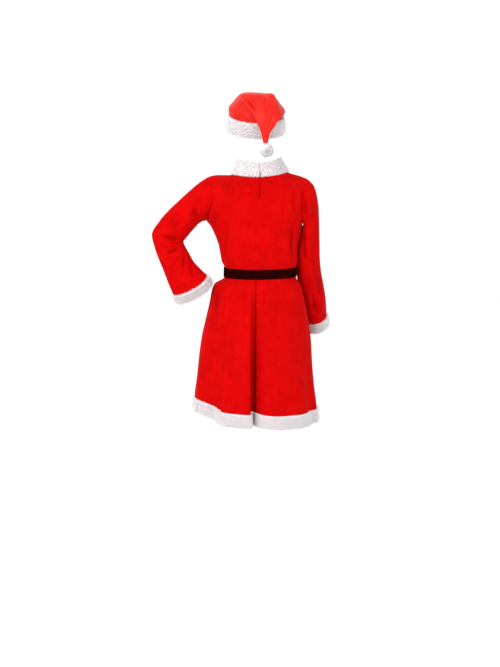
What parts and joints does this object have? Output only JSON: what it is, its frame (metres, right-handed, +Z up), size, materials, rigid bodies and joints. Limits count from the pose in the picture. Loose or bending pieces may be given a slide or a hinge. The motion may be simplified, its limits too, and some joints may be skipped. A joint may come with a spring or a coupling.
{
  "type": "christmas costume dress with belt and hat",
  "caption": "Hollow worn long-sleeved A-line velvet dress with plush collar, cuffs and hem, a plain waist belt and a matching hat with a hanging tail and pompom.",
  "frame": {"origin": "between the shoulders at the base of the neck, where the wearer's shoulders hold the dress up", "axes": "+Z up, the front of the dress faces -Y, +X is the side of the wearer's left arm"},
  "size_m": [0.6466, 0.3803, 1.1797],
  "materials": {
    "velvet": "short-pile red velvet with a soft sheen",
    "plush": "dense white plush fur",
    "belt": "matt black soft band",
    "hat_velour": "smooth red velour with a satin sheen"
  },
  "bodies": {
    "root": {"dress_back": "velvet", "dress_front": "velvet", "sleeve_left": "velvet", "sleeve_right": "velvet", "cuff_left": "plush", "cuff_right": "plush", "collar": "plush", "hem_band": "plush", "belt": "belt", "hat_crown": "hat_velour", "hat_band": "plush", "hat_pompom": "plush"}
  },
  "joints": []
}
